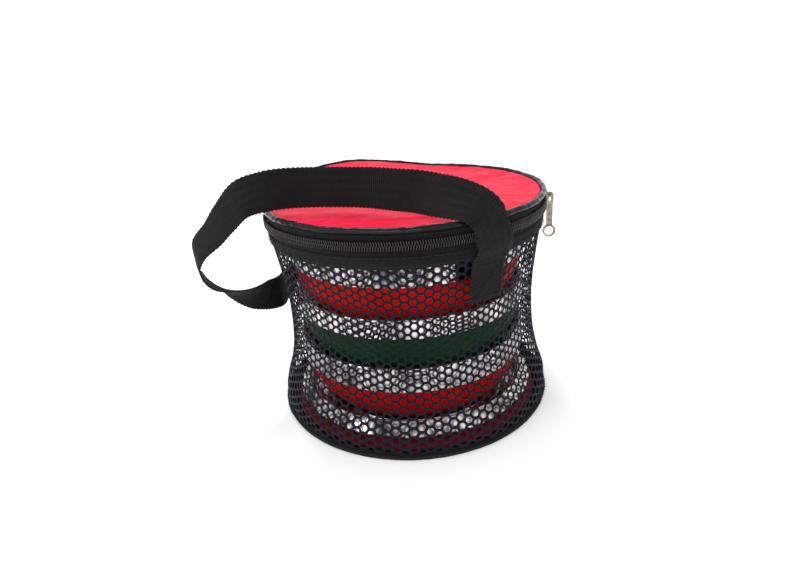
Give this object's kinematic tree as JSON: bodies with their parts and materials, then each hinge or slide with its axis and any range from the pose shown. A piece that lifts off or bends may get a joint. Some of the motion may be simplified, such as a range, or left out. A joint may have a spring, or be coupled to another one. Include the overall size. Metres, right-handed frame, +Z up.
{
  "type": "zip-top mesh carry bag with nested bowls",
  "caption": "Round net bag with a zip-round fabric lid on a fabric hinge and a webbing strap, holding a nest of double-walled steel bowls on a steel dish.",
  "frame": {"origin": "centre of the base panel, on the plane that the bag stands on", "axes": "+Z up along the bag's axis, -Y towards the side that the strap crosses, +X towards the slider"},
  "size_m": [0.2487, 0.2124, 0.1791],
  "materials": {
    "red_nylon": "woven nylon, slightly puckered, soft sheen",
    "net": "knitted hexagonal net",
    "black_tape": "woven polyester tape, matt",
    "piping_vinyl": "glossy covered piping",
    "zip_coil": "moulded nylon coil, semi-gloss",
    "webbing": "ribbed webbing, matt",
    "thread": "polyester thread",
    "zip_metal": "nickel plated, worn",
    "bowl_steel": "polished stainless steel",
    "shell_red": "smooth moulded shell, semi-gloss",
    "shell_green": "smooth moulded shell, semi-gloss"
  },
  "bodies": {
    "bag": {"base_panel": "red_nylon", "base_binding": "black_tape", "base_seam_tape": "black_tape", "net_wall": "net", "side_seam_tape": "black_tape", "top_hem": "black_tape", "zip_tape_lower": "black_tape", "zip_coil_lower": "zip_coil", "hinge_ribbon": "black_tape", "zip_end_stops": "zip_metal", "strap_end_front": "webbing", "strap_end_rear": "webbing", "strap_stitching": "thread"},
    "lid": {"lid_panel": "red_nylon", "lid_piping": "piping_vinyl", "lid_seam_tape": "black_tape", "zip_tape_upper": "black_tape", "zip_coil_upper": "zip_coil"},
    "slider": {"zip_slider": "zip_metal"},
    "pull": {"zip_pull": "zip_metal"},
    "strap": {"handle_strap": "webbing"},
    "dish": {"bottom_dish": "bowl_steel"},
    "lower_bowl": {"lower_bowl_liner": "bowl_steel", "lower_bowl_shell": "shell_red"},
    "middle_bowl": {"middle_bowl_liner": "bowl_steel", "middle_bowl_shell": "shell_green"},
    "top_bowl": {"top_bowl_liner": "bowl_steel", "top_bowl_shell": "shell_red"}
  },
  "joints": [
    {"name": "lid_hinge", "type": "hinge", "parent": "bag", "child": "lid", "pos_m": [0.08028, 0.05621, 0.142], "axis": [-0.5736, 0.8192, 0], "range_deg": [0, 110], "deforming": ["hinge_ribbon"]},
    {"name": "zip_travel", "type": "hinge", "parent": "bag", "child": "slider", "pos_m": [0, 0, 0.1415], "axis": [0, 0, -1], "range_deg": [0, 280]},
    {"name": "pull_swing", "type": "hinge", "parent": "slider", "child": "pull", "pos_m": [0.10136, -0.00531, 0.1415], "axis": [-0.0523, -0.9986, 0], "range_deg": [0, 150]},
    {"name": "strap_swing", "type": "hinge", "parent": "bag", "child": "strap", "pos_m": [0, 0, 0.128], "axis": [-0.4848, 0.8746, 0], "range_deg": [0, 100], "deforming": ["handle_strap"]},
    {"name": "dish_lift", "type": "slide", "parent": "bag", "child": "dish", "axis": [0, 0, 1], "range_m": [0, 0.004]},
    {"name": "lower_bowl_lift", "type": "slide", "parent": "dish", "child": "lower_bowl", "axis": [0, 0, 1], "range_m": [0, 0.006]},
    {"name": "middle_bowl_lift", "type": "slide", "parent": "lower_bowl", "child": "middle_bowl", "axis": [0, 0, 1], "range_m": [0, 0.006]},
    {"name": "top_bowl_lift", "type": "slide", "parent": "middle_bowl", "child": "top_bowl", "axis": [0, 0, 1], "range_m": [0, 0.006]}
  ],
  "couplings": [
    {"joint": "zip_travel", "follows": "lid_hinge", "ratio": 2.54}
  ]
}
